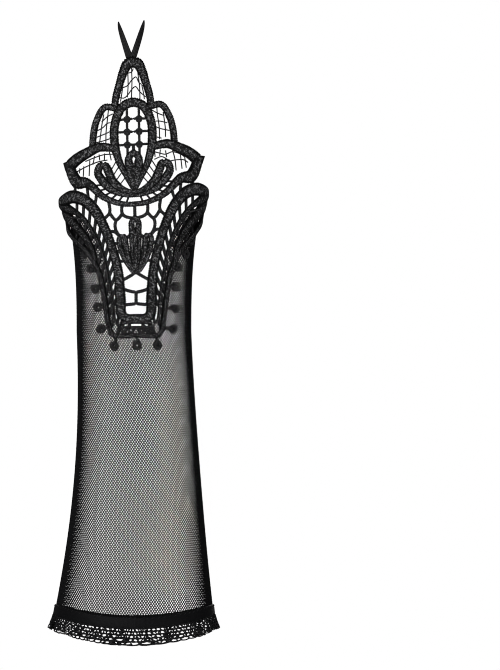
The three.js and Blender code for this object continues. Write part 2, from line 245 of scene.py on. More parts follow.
# Lace cords. Columns: across in percent of the span, up in percent of the motif's height, and width in
# percent of the cord width. Each is the right half, mirrored to the left.
LACE = {
    "arch": [[0, 97.7, 128], [4.5, 97.2, 122], [8.6, 94.6, 106], [11.8, 91.2, 92], [16, 85.9, 84],
             [17.5, 81.5, 80]],
    "oval": [[0, 84, 105], [10, 82.5, 105], [17, 77, 100], [17.5, 70, 100],
             [13.5, 64, 84], [6.5, 58.5, 62], [1, 54.5, 50]],
    "bud": [[0, 66.7, 72], [4.4, 65.2, 82], [4.2, 62.4, 106], [3, 59, 86], [0.4, 53.8, 40]],
    "shoulder": [[14, 82, 74], [27, 82.8, 76], [36, 78.3, 82], [39.6, 73.5, 84], [40.8, 68.5, 84]],
    "leaf": [[17, 68.6, 86], [33, 69.3, 104], [46, 67.7, 120], [60, 65.7, 136], [73.4, 63.2, 156],
             [61.2, 58, 152], [47, 57.3, 112], [28, 52.1, 76], [11, 49.7, 62], [0, 49.4, 58]],
    "hornInside": [[0, 53.5, 56], [9, 54.2, 72], [19.8, 57.3, 104], [24, 60.5, 100], [26.6, 62.6, 92],
                   [30, 63.2, 84]],
    "hornOutside": [[28.5, 63.3, 80], [33.1, 62.6, 90], [35, 60.4, 94], [28.7, 57.2, 104],
                    [21, 54.7, 88], [9, 52.8, 60], [0, 52.4, 50]],
    "budFill": [[0, 62.2, 70], [0, 59, 84], [0, 54.5, 50]],
    "middleFill": [[0, 39.6, 62], [0, 35, 66], [0, 28, 44]],
    "shield": [[102, 51.8, 64], [86, 52.3, 132], [67, 53.2, 144], [51, 51.7, 138], [39.6, 48.2, 128],
               [29.2, 41.8, 114], [21, 33.8, 106], [16.4, 26.5, 112], [14.3, 17, 124], [13.5, 12, 118],
               [9, 10.6, 106], [0, 10.5, 100]],
    "border": [[104, 50, 86], [104, 47.2, 90], [96, 43.6, 104], [86, 41.6, 92], [75, 39.6, 70],
               [48, 33.4, 72], [35.4, 26.6, 76], [29.6, 17.6, 72], [25.6, 8.6, 68], [21.5, 5, 62],
               [0, 4.8, 58]],
    "edge": [[76, 46.4, 32], [56, 45.2, 32], [42, 41, 32], [32, 33.8, 32], [26.5, 25.5, 32],
             [22.5, 17, 32], [20, 9.8, 32], [15, 7.9, 30], [0, 7.5, 30]],
    "middleBud": [[0, 44.6, 66], [3, 43.2, 68], [2.8, 40.2, 76], [2.2, 33, 70], [0.2, 26, 40]],
    "sideBudInside": [[12, 39.2, 56], [9.5, 37.8, 66], [8.9, 35.4, 72], [6.2, 30.4, 66], [2, 26.1, 38]],
    "sideBudOutside": [[12, 39.2, 56], [14.7, 37.8, 62], [14.2, 35.4, 67], [10, 30.8, 60], [3, 26.1, 38]],
    "footFill": [[15.5, 8.8, 46], [8, 9.1, 44], [0, 9.2, 40]],
    "wingRail": [[102, 51.3, 66], [89, 50.4, 130], [75, 49, 100], [62, 47.5, 62], [52, 45.2, 52],
                 [43, 41.4, 46], [36, 36.8, 40], [31, 32.4, 32]],
    "wingFill": [[101, 49, 84], [91, 47.6, 138], [78, 45.8, 142], [62, 42.3, 116], [50, 38.6, 96],
                 [42, 34.2, 74], [38, 30.5, 44]],
}

# The cords that turn a sharp corner, and the row where they do.
CORNERS = {"leaf": 4}

# Thin bars that tie the cords together. Columns: across and up, as for the cords.
BARS = {
    "ovalUpright": [[5.6, 83], [5.6, 65.4]],
    "ovalTop": [[0, 78.4], [16.5, 78.2]],
    "ovalMiddle": [[0, 74], [17.4, 74]],
    "ovalFoot": [[0, 69.6], [17.4, 69.6]],
    "budNeck": [[0, 70], [0, 66]],
    "festoonMiddle": [[0, 50], [0, 44.6]],
    "festoonInner": [[12, 50], [11.7, 46.4], [8.7, 45.3], [2, 44.6]],
    "festoonSwag": [[11.7, 46.4], [14.5, 45.1], [17.6, 44.3], [20.5, 45.1], [24, 47]],
    "festoonOuter": [[25, 51.5], [24, 47], [29, 45.1], [34.5, 43.4]],
    "festoonDrop": [[17.6, 44.3], [18.8, 42.6], [18, 40.8], [14.5, 38.6]],
    "festoonTie": [[29, 40.2], [19.6, 40.3], [14.5, 38.6]],
    "budTie": [[3, 39.6], [8.5, 37.6]],
    "shieldTie": [[18.5, 29.6], [8, 30.4]],
    "petalTie": [[20, 33.8], [11, 32.8]],
    "petalTopTie": [[22.5, 36.4], [13.5, 35.8]],
    "hexagonTop": [[15, 23], [5, 25], [0, 26.2]],
    "hexagonFoot": [[14.5, 20.9], [5, 19.7], [0, 19.4]],
    "footUpright": [[0, 19.6], [0, 15.3]],
    "footRail": [[14, 15], [5, 15.3], [0, 15.5]],
    "footCross": [[1.6, 7.4], [5, 5], [8, 7.6], [11.5, 5.1], [14.6, 7.8], [17.5, 5.2]],
    "wingTie": [[48, 57], [46.4, 52.6]],
    "arcTie": [[35.5, 55.2], [40.5, 48.8]],
    "leafTie": [[64, 58.4], [63.8, 53.6]],
}

# Where the oval's bars cross: across, and the three heights.
KNOT_ACROSS, KNOT_HEIGHTS = 5.6, (78.3, 74, 69.6)

# Ladders: rungs between two cords, each stretch as shares of its cord's length, then the number of
# rungs and their width in mm.
LADDERS = [
    ("oval", 0.58, 0.92, "hornInside", 0.86, 0.26, 4, 0.75),
    ("hornOutside", 0.36, 1, "leaf", 0.62, 1, 6, 1.25),
    ("shield", 0.16, 0.86, "edge", 0.02, 0.83, 12, 2.3),
    ("edge", 0.04, 0.98, "border", 0.24, 0.96, 12, 2.5),
    ("shield", 0.86, 1, "edge", 0.84, 1, 3, 2.2),
]


def lace_rows(rows, side, width=None):
    """Table rows in mm on one side of the middle line, with a last column for the width."""
    rows = np.asarray(rows, float)
    wide = rows[:, 2] * CORD_WIDTH / 100 if width is None else np.full(len(rows), width)
    return np.stack([side * rows[:, 0] * LACE_SPAN / 100, rows[:, 1] * LACE_HEIGHT / 100, wide], -1)


def cornered_curve(rows, cuts):
    """Smooth curves from corner to corner, joined where they meet."""
    ends = [0, *cuts, len(rows) - 1]
    pieces = [smooth_curve(rows[a:b + 1]) for a, b in zip(ends, ends[1:])]
    return np.vstack([pieces[0], *(piece[1:] for piece in pieces[1:])])


def half_curves(rows, corner=None):
    """A cord's line, a picker of the points at shares of its length on a side, and the curves to lay:
    one through the middle where the rows reach it, and one a side where they don't."""
    left, right = lace_rows(rows, -1), lace_rows(rows, 1)
    if all(row[0] == 0 for row in rows):
        whole = smooth_curve(right)
        return {"line": whole, "laid": [whole]}
    if rows[0][0] == 0:
        whole = smooth_curve(np.vstack([left[::-1], right[1:]]))
        return {"line": whole, "laid": [whole],
                "at": lambda side, share: at_share(whole, (1 + side * np.asarray(share)) / 2)}
    if rows[-1][0] == 0:
        path = np.vstack([left, right[::-1][1:]])
        cuts = [corner, len(path) - 1 - corner] if corner else []
        whole = cornered_curve(path, cuts)
        return {"line": whole, "laid": [whole],
                "at": lambda side, share: at_share(whole, (1 + side * (1 - np.asarray(share))) / 2)}
    halves = {-1: smooth_curve(left), 1: smooth_curve(right)}
    return {"line": halves[1], "laid": list(halves.values()),
            "at": lambda side, share: at_share(halves[side], share)}


CORDS = {name: half_curves(rows, CORNERS.get(name)) for name, rows in LACE.items()}
chance = np.random.default_rng(11)

# The wings stand off the arm: the crest's height, its lean to the right and its reach up and down, how
# far it stands off and how much less on the right, and the angles between which it rises.
CREST_HEIGHT, CREST_LEAN, CREST_REACH = 242.8, 3.2, 7
CREST_LIFT, CREST_LESS = 1.5, 0.5
CREST_START, CREST_END = 1.1, 1.5


def wing_stand(angle, level):
    """How far the lace stands off the arm at the wings' outer ends: a crest over the height, which lies
    higher on the right."""
    side = np.sign(angle)
    fall = np.clip(1 - np.abs(level - CREST_HEIGHT - CREST_LEAN * side) / CREST_REACH, 0, 1)
    return (CREST_LIFT - CREST_LESS * side) * ease(CREST_START, CREST_END, np.abs(angle)) * fall


# How each kind of cord is made. stitch and step are mm along it, dip the depth of the grooves between
# its stitches, square the power of its section, slant the stitches' lead over half the width.
PADDED_CORD = {"height": CORD_HEIGHT, "sides": 12, "step": 0.24, "stitch": 0.95, "dip": 0.2,
               "square": 0.72, "slant": 0.3, "swell": 1.2}
BAR = {"height": 1.35, "sides": 8, "step": 0.3, "stitch": 1.0, "dip": 0.26, "square": 0.9, "slant": 0.9}
RUNG = {"height": 1.1, "sides": 8, "step": 0.32, "stitch": 0.9, "dip": 0.25, "square": 0.85, "slant": 0.6}
BAR_LIFT, RUNG_LIFT = 0.2, 0.3
OVAL_BAR_WIDTH, BAR_WIDTH = 1.6, 2.1

# A bend is sharp below this cosine. A cord rounds off over END_LENGTH, to the root of END_SHARE. The
# stitches' strength is by chance, with some to spare past both ends.
SHARP_BEND, LEAST_TURN = 0.6, 0.3
END_LENGTH, END_SHARE = 0.9, 0.12
WEAK, STRONG, SPARE_STITCHES, STITCHES_BEFORE, GROOVE_POWER, CHANCE_SPREAD = 0.45, 1.25, 12, 5, 0.8, 3


def padded_cord(curve, base, height, sides, step, stitch, dip, square, slant, swell=1.0):
    """A padded cord on the hand: an oval section, flattened by the power square, carried along a curve
    of across, up and width, and widened at a corner by one over the cosine of half its turn. Each stitch
    across it is a ridge: half a sine wave of the run along the cord, led by the place across it, of a
    height by chance."""
    length = length_along(curve[:, :2])[-1]
    count = max(3, int(length / step) + 1)
    heading = unit(np.diff(curve[:, :2], axis=0))
    bend = np.sum(heading[1:] * heading[:-1], -1)
    corners = (length_along(curve) / length_along(curve)[-1])[1:-1][bend < SHARP_BEND]
    share = np.linspace(0, 1, count)
    for corner in corners:
        share[np.abs(share - corner).argmin()] = corner
    flat = at_share(curve, share)
    angle, level = lay(flat[:, 0], flat[:, 1])
    path, out = on_arm(angle, level, base + height / 2 + wing_stand(angle, level))
    along = unit(np.gradient(path, axis=0))
    heading = unit(np.diff(flat[:, :2], axis=0))
    half_turn = np.sqrt(np.clip((1 + np.sum(heading[1:] * heading[:-1], -1)) / 2, LEAST_TURN, 1))
    flat[1:-1, 2] /= half_turn
    flat[:, 2] *= swell
    aside = unit(np.cross(along, out))
    wide, tall = (squared(f, square) for f in round_section(sides))
    run = (share * length)[:, None] + slant * flat[:, 2:3] * wide[None, :] / 2
    beat = run / stitch
    strength = chance.uniform(WEAK, STRONG, int(length / stitch) + SPARE_STITCHES)
    number = np.floor(beat).astype(int) + STITCHES_BEFORE
    strong = strength[np.clip(number, 0, len(strength) - 1)]
    ridge = 1 - dip * strong * (1 - np.abs(np.sin(np.pi * beat)) ** GROOVE_POWER)
    end = np.minimum(np.minimum(share, 1 - share) * length / END_LENGTH, 1)[:, None]
    ridge = ridge * np.sqrt(np.clip(1 - (1 - end) ** 2, END_SHARE, 1))
    points = (path[:, None]
              + aside[:, None] * (flat[:, 2, None] / 2 * wide * ridge)[..., None]
              + out[:, None] * (height / 2 * tall * ridge)[..., None])
    lie = np.stack([run, np.broadcast_to(wide, run.shape), CHANCE_SPREAD * strong], -1)
    return points.reshape(-1, 3), tube_faces(count, sides), lie.reshape(-1, 3)


def lace_cords(names):
    """The motif's padded cords, each on its own slight level, satin-stitched across."""
    return [padded_cord(curve, LACE_LIFT + index % 3 * CORD_LEVELS, **PADDED_CORD)
            for index, name in enumerate(LACE) if name in names
            for curve in CORDS[name]["laid"]]


def lace_bars():
    """Bars and ladder rungs: round twisted cords between the padded ones."""
    parts = []
    for side in (-1, 1):
        for name, rows in BARS.items():
            if side < 0 and all(row[0] == 0 for row in rows):
                continue
            width = OVAL_BAR_WIDTH if name.startswith("oval") else BAR_WIDTH
            bar = smooth_curve(lace_rows(rows, side, width))
            parts.append(padded_cord(bar, LACE_LIFT + BAR_LIFT, **BAR))
        for start, low, high, end, near, far, rungs, width in LADDERS:
            way = np.arange(1, rungs + 1) / (rungs + 1)
            here = CORDS[start]["at"](side, low + (high - low) * way)
            there = CORDS[end]["at"](side, near + (far - near) * way)
            for a, b in zip(here, there):
                rung = np.linspace(a, b, 5)
                rung[:, 2] = width
                parts.append(padded_cord(rung, LACE_LIFT + RUNG_LIFT, **RUNG))
    return parts


# Picots and knots are thread rings: long, short and thread thickness in mm, then steps round. A picot
# sits a little right of its row's place, and out from the border, and its stem runs back inward.
PICOT_RING, KNOT_RING = (6.3, 5.8, 2.6, 22), (4.3, 4.3, 2.1, 16)
RING_LIFT, RING_HEIGHT, RING_SIDES, RING_RIPPLE, RING_RIPPLES = 0.1, 1.6, 8, 0.12, 11
PICOT_RIGHT, PICOT_OUT = 0.4, 0.3
STEM_START, STEM_END, STEM_RADIUS, STEM_LIFT = 1.6, 5.0, 0.95, 0.8
PETAL_THREAD_LIFT, PETAL_THREAD_RADIUS, PETAL_THREAD_STEP = 2.4, 0.37, 0.8
RING_CHANCE, THREAD_CHANCE = 0.8, 0.7


def ring_on_hand(angle, level, heading, long, short, thread, steps):
    """A small thread ring: a flattened circle of thread carried round an oval, long the way it heads."""
    centre, out = on_arm(angle, level, LACE_LIFT + RING_LIFT + RING_HEIGHT / 2)
    right = unit(np.cross([0, 0, 1.0], out))
    upward = np.cross(out, right)
    fore = right * heading[0] + upward * heading[1]
    beside = np.cross(out, fore)
    a = (2 * np.pi * np.arange(steps) / steps)[:, None]
    b = (2 * np.pi * np.arange(RING_SIDES) / RING_SIDES)[None, :]
    swell = 1 + RING_RIPPLE * np.cos(RING_RIPPLES * a)
    reach = thread / 2 * np.cos(b) * swell
    points = (centre + fore * (((long - thread) / 2 + reach) * np.cos(a))[..., None]
              + beside * (((short - thread) / 2 + reach) * np.sin(a))[..., None]
              + out * (RING_HEIGHT / 2 * np.sin(b) * swell)[..., None])
    lie = np.stack([a * long / 2 + 0 * b, np.cos(b) + 0 * a, RING_CHANCE + 0 * a + 0 * b], -1)
    return points.reshape(-1, 3), tube_faces(steps, RING_SIDES, closed=True), lie.reshape(-1, 3)


def seen_at(x, height):
    """Angle round the arm of spots on the lace, from how far aside they are seen from the front."""
    half_width, _, aside, _ = arm_at(height)
    return np.arcsin((x - aside) / (half_width + LACE_FACE))


# Picots as seen from the front. Columns: mm from the middle line, mm up, and the way out from the border
# in degrees.
PICOTS = [
    [-30.3, 217.6, 200], [-28.2, 210.2, 195], [-25.2, 201.4, 192], [-22.6, 189.6, 188], [-21, 179, 184],
    [-19.1, 166.6, 188], [-11.6, 156.6, 262], [1.7, 157.1, 270], [13.6, 157.1, 275],
    [22.4, 166.6, -8], [23.5, 178.4, 0], [24.2, 191, 2], [25.4, 202.1, -8], [29.6, 209.9, -12],
    [32.5, 217.6, -15],
]


def lace_picots():
    """Picots outside the border, each a small padded ring on a short stem, and the knots where the
    oval's bars cross."""
    parts = []
    for x, z, way in PICOTS:
        outward = np.array([math.cos(math.radians(way)), math.sin(math.radians(way))])
        x = x + PICOT_RIGHT + PICOT_OUT * outward[0]
        parts.append(ring_on_hand(seen_at(x, z), z, outward, *PICOT_RING))
        stem = np.array([x, z]) - outward[None, :] * np.linspace(STEM_START, STEM_END, 8)[:, None]
        path, out = on_arm(seen_at(stem[:, 0], stem[:, 1]), stem[:, 1], LACE_LIFT + STEM_LIFT)
        parts.append(round_thread(path, out, STEM_RADIUS, 8))
    for side in (-1, 1):
        for up in KNOT_HEIGHTS:
            angle, height = lay(side * KNOT_ACROSS * LACE_SPAN / 100, up * LACE_HEIGHT / 100)
            parts.append(ring_on_hand(angle, height, (0, 1), *KNOT_RING))
    return parts


# Thin threads that fill the petals, as seen from the front: the points of each thread, in mm from the
# middle line and mm up.
PETAL_THREADS = [
    [[-1.3, 318], [-1.0, 310], [-1.3, 299.5]], [[-3.5, 315.5], [-3.3, 307.5], [-3.7, 300.5]],
    [[2.5, 314.5], [3.5, 307.5], [3.8, 299.5]], [[-6.1, 310.5], [-6.7, 305], [-7.8, 298]],
    [[-6.8, 306], [-3.7, 307.3], [-1.3, 310.4], [1.4, 312.4], [3.2, 309], [4.9, 308]],
    [[-8.5, 300.4], [-5.7, 300.1], [-3.3, 302.2], [-1.3, 304.9], [1.1, 306.8], [3.5, 303.9], [7.2, 300.8]],
    [[-3.7, 314.5], [-1.3, 315.2], [-0.3, 317.2]], [[4.9, 307.6], [5.9, 303], [6.4, 299.5]],
    [[-14.9, 293.5], [-15.6, 287.2], [-16.3, 280.3], [-16.4, 274.2]],
    [[-17.7, 290.6], [-18.7, 285.1], [-19.4, 279.7], [-20.1, 274.2]],
    [[-12.4, 290.9], [-15.6, 289.2], [-19, 286.1]],
    [[-12.4, 285.8], [-15.6, 285.4], [-18, 283.1], [-21.6, 281]],
    [[-12.4, 281.7], [-14.6, 280.3], [-21.9, 277.3]], [[-12.6, 277], [-17, 275.5], [-22.2, 274.2]],
    [[13.7, 295.7], [14.1, 290.6], [15.1, 283.8], [15.4, 276.2]],
    [[17.5, 292], [18.2, 287.2], [18.8, 281.7], [18.8, 277.6]],
    [[10, 293.7], [13.7, 291.6], [18.2, 289.9]],
    [[10.6, 286.5], [15.1, 286.8], [19.9, 285.8]], [[10.9, 284.8], [15.1, 282.7], [21, 281.4]],
    [[11.3, 278.6], [13.7, 277.6], [16.5, 276.9]],
    [[-29.3, 260.6], [-29.6, 254.6]], [[-25.8, 264], [-26.2, 255]], [[-23, 266.6], [-24, 261.5]],
    [[-20.4, 267.4], [-20, 264]], [[-17.1, 268], [-17.3, 264]], [[-14.3, 268.8], [-13.2, 264]],
    [[-33, 257.6], [-27.8, 260.4], [-22.5, 262.6]], [[-31.6, 259.5], [-31.8, 256.5]],
    [[-24.5, 262], [-20, 263.4], [-15.5, 264.2]],
    [[-28.4, 263.4], [-22.5, 265.8], [-17.5, 267.3], [-12.5, 267.6]],
    [[12.4, 270.2], [12.7, 266]], [[15.8, 270.3], [15.4, 266.6]], [[18.8, 269.8], [19.5, 265.8]],
    [[22.9, 270.2], [24.3, 264.7], [25, 258.2]], [[27.4, 268], [28.4, 259.2]],
    [[11, 269.4], [15.1, 268.3], [18.8, 267.6], [22.6, 269], [27.4, 267.8], [30, 266]],
    [[21.2, 263.7], [25.3, 264.4], [29.5, 264.4], [31.8, 262.9]], [[29.9, 266], [30.8, 259.8]],
    [[12.2, 264.6], [16.6, 266.2], [21.2, 263.7]],
]


def petal_threads():
    """The petals' thin threads: round threads on smooth curves, at the cords' middle height."""
    parts = []
    for rows in PETAL_THREADS:
        line = smooth_curve(rows)
        count = max(6, int(length_along(line)[-1] / PETAL_THREAD_STEP))
        line = at_share(line, np.linspace(0, 1, count))
        path, out = on_arm(seen_at(line[:, 0], line[:, 1]), line[:, 1], PETAL_THREAD_LIFT)
        parts.append(round_thread(path, out, PETAL_THREAD_RADIUS, 5))
    return parts


def round_thread(path, out, radius, sides=6):
    """A round thread: a circle carried along a path of points, its first point set by out."""
    along = unit(np.gradient(path, axis=0))
    aside = unit(np.cross(along, out))
    upward = np.cross(aside, along)
    cosine, sine = round_section(sides)
    radius = np.broadcast_to(radius, (len(path),))[:, None, None]
    points = path[:, None] + radius * (aside[:, None] * cosine[:, None] + upward[:, None] * sine[:, None])
    run = length_along(path)[:, None] + 0 * cosine
    lie = np.stack([run, cosine + 0 * run, THREAD_CHANCE + 0 * run], -1)
    return points.reshape(-1, 3), tube_faces(len(path), sides), lie.reshape(-1, 3)


# The net: one even mesh all over, its rows a little aslant, cut to the arm's shape at the side seams.
# NET_WOBBLE moves each crossing by chance, and WEAVE lifts a thread over or under the one it crosses.
# NET_REACH counts meshes to each side of the middle. FAR_ROUND is well past a seam, in mm round the arm.
MESH_WIDTH, MESH_LEAN, ROW_STEP, ROW_SLANT = 1.5294, 0.0324, 1.076, 0.0724
NET_THREAD, PALM_THREAD = 0.6, 0.46
NET_FOOT, NET_ROWS, NET_REACH = -14.0, 246, 44
NET_LIFT, NET_WOBBLE, WEAVE, PRISM_UNDER, PRISM_OVER = 0.5, 0.012, 0.1, 0.46, 0.93
SEAM_OVERLAP, BAND_OVERLAP, SIDE_RADIUS, FAR_ROUND = 0.004, 0.6, 30, 110

edge_line = CORDS["edge"]["line"]
edge_angle, edge_height = lay(edge_line[:, 0], edge_line[:, 1])
side_height = lay(np.array([-LACE_SPAN, LACE_SPAN]), np.full(2, edge_line[0, 1]))[1]
CUT_ANGLE = np.concatenate([[-np.pi / 2], edge_angle, [np.pi / 2]])
CUT_HEIGHT = np.concatenate([side_height[:1], edge_height, side_height[1:]])


def cut_height(angle):
    """Height of the sleeve's upper edge at an angle between the two side seams."""
    return np.interp(angle, CUT_ANGLE, CUT_HEIGHT)


def net_angle(along, height):
    """Angle at a distance round the oval from the back's middle: its share of the whole turn, less a part
    of the double sine of it that grows with the oval's flatness."""
    wide, deep = arm_at(height)[:2]
    round_it = np.pi * (3 * (wide + deep) - np.sqrt((3 * wide + deep) * (wide + 3 * deep)))
    full = 2 * np.pi * along / round_it
    return full - (wide**2 - deep**2) / (wide**2 + deep**2) / 4 * np.sin(2 * full)


def behind(point, lift):
    """Angle and height on the palm side of the spots that the camera sees through front points: each
    sight line is carried on to the palm's wall, found in three rounds."""
    reach = -point[..., 1]
    for _ in range(3):
        grow = (reach - CAMERA[1]) / (point[..., 1] - CAMERA[1])
        x = CAMERA[0] + (point[..., 0] - CAMERA[0]) * grow
        height = CAMERA[2] + (point[..., 2] - CAMERA[2]) * grow
        half_width, half_depth, aside, forward = arm_at(height)
        sine = np.clip((x - aside) / (half_width + lift), -0.99999, 0.99999)
        reach = -forward + half_depth * np.sqrt(1 - sine**2) + lift
    return np.arcsin(sine), height


def thread_swell(angle, height):
    """How thick the net's threads are against the middle of the sleeve: thicker toward the sides, a
    little less at the seams themselves, and a little thicker up the sleeve and on the hand."""
    flank = np.abs(np.sin(angle))
    aside = 1 + 0.24 * ease(0.55, 0.86, flank) - 0.12 * ease(0.94, 1, flank)
    return aside * (0.96 + 0.04 * ease(0, 110, height) + 0.14 * ease(135, 190, height))


def net_panel(palm, thread):
    """Half the sleeve's net, seam to seam: two families of threads that cross aslant, over and under by
    turns. Thread k of a family is at mesh k + 1/2 plus or minus half its row number; each is a three-sided
    prism from crossing to crossing, cut where it meets the band, a side seam or the sleeve's upper edge."""
    row = np.arange(NET_ROWS)
    wobble = np.random.default_rng(5).normal(0, NET_WOBBLE, (8 * NET_REACH, NET_ROWS, 2))
    parts = []
    for slope in (1, -1):
        low = -NET_REACH - (NET_ROWS // 2 if slope > 0 else 0)
        high = NET_REACH + (0 if slope > 0 else NET_ROWS // 2)
        mesh = np.arange(low, high + 1)[:, None] + 0.5 + slope * row[None, :] / 2
        node = np.clip((2 * mesh).astype(int) + 4 * NET_REACH, 0, 8 * NET_REACH - 1)
        shake = wobble[node, np.broadcast_to(row, mesh.shape)]
        along = (mesh + shake[..., 0]) * MESH_WIDTH - MESH_LEAN * row[None, :]
        height = NET_FOOT + row[None, :] * ROW_STEP - ROW_SLANT * along + shake[..., 1]
        over = slope * (1 - 2 * (row % 2))[None, :] * WEAVE
        angle = net_angle(np.clip(along, -FAR_ROUND, FAR_ROUND), height)
        seam = (np.pi / 2 + SEAM_OVERLAP - np.abs(angle)) * SIDE_RADIUS
        if palm:
            front = on_arm(np.clip(angle, -np.pi / 2, np.pi / 2), height, NET_LIFT)[0]
            angle, height = behind(front, NET_LIFT)
        band = hem_line(angle) + BAND_HEIGHT / 2 - BAND_OVERLAP
        inside = np.minimum(np.minimum(height - band, cut_height(angle) - height), seam)
        path, out = on_arm(np.pi - angle if palm else angle, height, NET_LIFT + over)
        along = unit(np.gradient(path, axis=1))
        half = (thread / 2 * thread_swell(angle, height))[..., None]
        aside = unit(np.cross(along, out)) * half
        under = out * half * PRISM_UNDER
        rings = np.stack([path + aside - under, path + out * half * PRISM_OVER, path - aside - under], 2)
        parts.append(clipped_threads(rings, inside))
    return joined(parts)


def clipped_threads(rings, inside):
    """Prisms along the rows of rings where inside is above 0; a prism that leaves is cut at the share of
    its length where inside comes to 0, and closed there."""
    kept = inside > 0
    number = np.cumsum(kept.ravel()).reshape(kept.shape) - 1
    points = [rings[kept].reshape(-1, 3)]
    count = int(kept.sum())
    both = kept[:, :-1] & kept[:, 1:]
    start, end = number[:, :-1][both], number[:, 1:][both]
    starts, ends, caps = [start], [end], []
    for going_in in (False, True):
        inner = (slice(None), slice(1, None)) if going_in else (slice(None), slice(None, -1))
        outer = (slice(None), slice(None, -1)) if going_in else (slice(None), slice(1, None))
        cut = kept[inner] & ~kept[outer]
        share = (inside[inner] / np.maximum(inside[inner] - inside[outer], 1e-6))[cut][:, None, None]
        points.append((rings[inner][cut] * (1 - share) + rings[outer][cut] * share).reshape(-1, 3))
        fresh = count + np.arange(int(cut.sum()))
        count += len(fresh)
        starts.append(fresh if going_in else number[inner][cut])
        ends.append(number[inner][cut] if going_in else fresh)
        order = np.array([0, 1, 2]) if going_in else np.array([0, 2, 1])
        caps.append(fresh[:, None] * 3 + order[None, :])
    start, end = np.concatenate(starts)[:, None] * 3, np.concatenate(ends)[:, None] * 3
    corner = np.arange(3)[None, :]
    beside = (corner + 1) % 3
    quads = np.stack([start + corner, end + corner, end + beside, start + beside], -1).reshape(-1, 4)
    points = np.concatenate(points)
    lie = np.stack([points[:, 2], points[:, 0], np.zeros(len(points))], -1)
    return points, [quads, np.concatenate(caps)], lie


# Cords along the sleeve's edges, their thickness in slight ripples along them.
SEAM_RADIUS, SEAM_RIPPLE, SEAM_LIFT, SEAM_STEPS = 0.32, 0.04, 0.55, 260
BINDING_RADIUS, BINDING_RIPPLE, BINDING_LIFT, CUT_STEPS, BINDING_STEPS = 0.55, 0.05, 0.6, 300, 420
SHORT_EDGE_RADIUS = 0.5


def sleeve_cords():
    """The side seams, the bound edge of the palm side's cut, and the stretches of the sleeve's upper
    edge that the lace doesn't cover: fine cords on the net's edge."""
    parts = []
    for side in (-1, 1):
        top = CUT_HEIGHT[0 if side < 0 else -1]
        height = np.linspace(hem_line(np.pi / 2) + BAND_HEIGHT / 2, top + 0.3, SEAM_STEPS)
        path, out = on_arm(side * np.pi / 2, height, SEAM_LIFT)
        parts.append(round_thread(path, out, SEAM_RADIUS + SEAM_RIPPLE * np.sin(height * 2.4), 7))
    angle = np.interp(np.linspace(0, 1, CUT_STEPS), np.linspace(0, 1, len(CUT_ANGLE)), CUT_ANGLE)
    path, out = on_arm(np.pi - angle, cut_height(angle), BINDING_LIFT)
    even = np.linspace(0, 1, BINDING_STEPS)
    path = at_share(path, even)
    out = out[np.linspace(0, CUT_STEPS - 1, BINDING_STEPS).astype(int)]
    out = unit(at_share(np.hstack([path, out]), even)[:, 3:])
    ripple = BINDING_RIPPLE * np.sin(np.arange(BINDING_STEPS) * 1.3)
    parts.append(round_thread(path, out, BINDING_RADIUS + ripple, 7))
    for side in (-1, 1):
        start = CUT_ANGLE[1] if side < 0 else CUT_ANGLE[-2]
        angle = np.linspace(start, side * np.pi / 2, 40)
        path, out = on_arm(angle, cut_height(angle), BINDING_LIFT)
        parts.append(round_thread(path, out, SHORT_EDGE_RADIUS, 7))
    return parts


# The satin band's section and the fine waves round it.
BAND_LIFT, BAND_HALF_WALL, BAND_RADIUS = 0.9, 0.78, 40
UPRIGHT_POWER, WALL_POWER = 0.42, 0.5
GROOVE_DEPTH, GROOVE_PLACE, GROOVE_HALF_WIDTH = 0.13, 0.78, 0.07
PUCKER_DEPTH, PUCKERS, EDGE_WAVE, EDGE_WAVES = 0.04, 61, 0.08, 47


def hem_band(columns=420, sides=22):
    """The satin band: a flattened oval section, ribbed by a fine pucker, carried round the hem line, with
    a shallow groove along each edge."""
    angle = (2 * np.pi * np.arange(columns) / columns)[:, None]
    cosine, sine = round_section(sides)
    up, out = squared(cosine, UPRIGHT_POWER)[None, :], squared(sine, WALL_POWER)[None, :]
    pucker = PUCKER_DEPTH * np.sin(angle * PUCKERS + 1.5 * np.sin(3 * angle)) * np.abs(up) ** 2
    away = (np.abs(up) - GROOVE_PLACE) / GROOVE_HALF_WIDTH
    groove = GROOVE_DEPTH * np.exp(-(away**2)) * (out > 0)
    lift = BAND_LIFT + BAND_HALF_WALL * out - groove + pucker
    wave = EDGE_WAVE * np.sin(angle * EDGE_WAVES) * np.abs(up) ** 3
    height = hem_line(angle) + BAND_HEIGHT / 2 * up + wave
    points = on_arm(angle + 0 * up, height, lift)[0]
    lie = np.stack([angle * BAND_RADIUS + 0 * up, up + 0 * angle, out + 0 * angle], -1)
    return points.reshape(-1, 3), tube_faces(columns, sides, closed=True, turned=True), lie.reshape(-1, 3)


STITCH_RADIUS, STITCH_HALF_TURN, STITCH_SLANT = 0.16, 0.014, 0.35
STITCH_PLACE, STITCH_LIFT, STITCH_ARCH = 0.39, 1.5, 0.22


def hem_stitches(count=84):
    """Short slanted stitches in the band's two grooves."""
    parts = []
    for edge in (-1, 1):
        for stitch in range(count):
            middle = 2 * np.pi * (stitch + 0.25 * edge) / count
            angle = middle + np.linspace(-STITCH_HALF_TURN, STITCH_HALF_TURN, 5)
            slant = np.linspace(-STITCH_SLANT, STITCH_SLANT, 5)
            height = hem_line(angle) + edge * (BAND_HEIGHT * STITCH_PLACE + slant)
            arch = STITCH_ARCH * np.cos(np.linspace(-1.4, 1.4, 5))
            path, out = on_arm(angle, height, STITCH_LIFT + arch)
            parts.append(round_thread(path, out, STITCH_RADIUS, 5))
    return parts


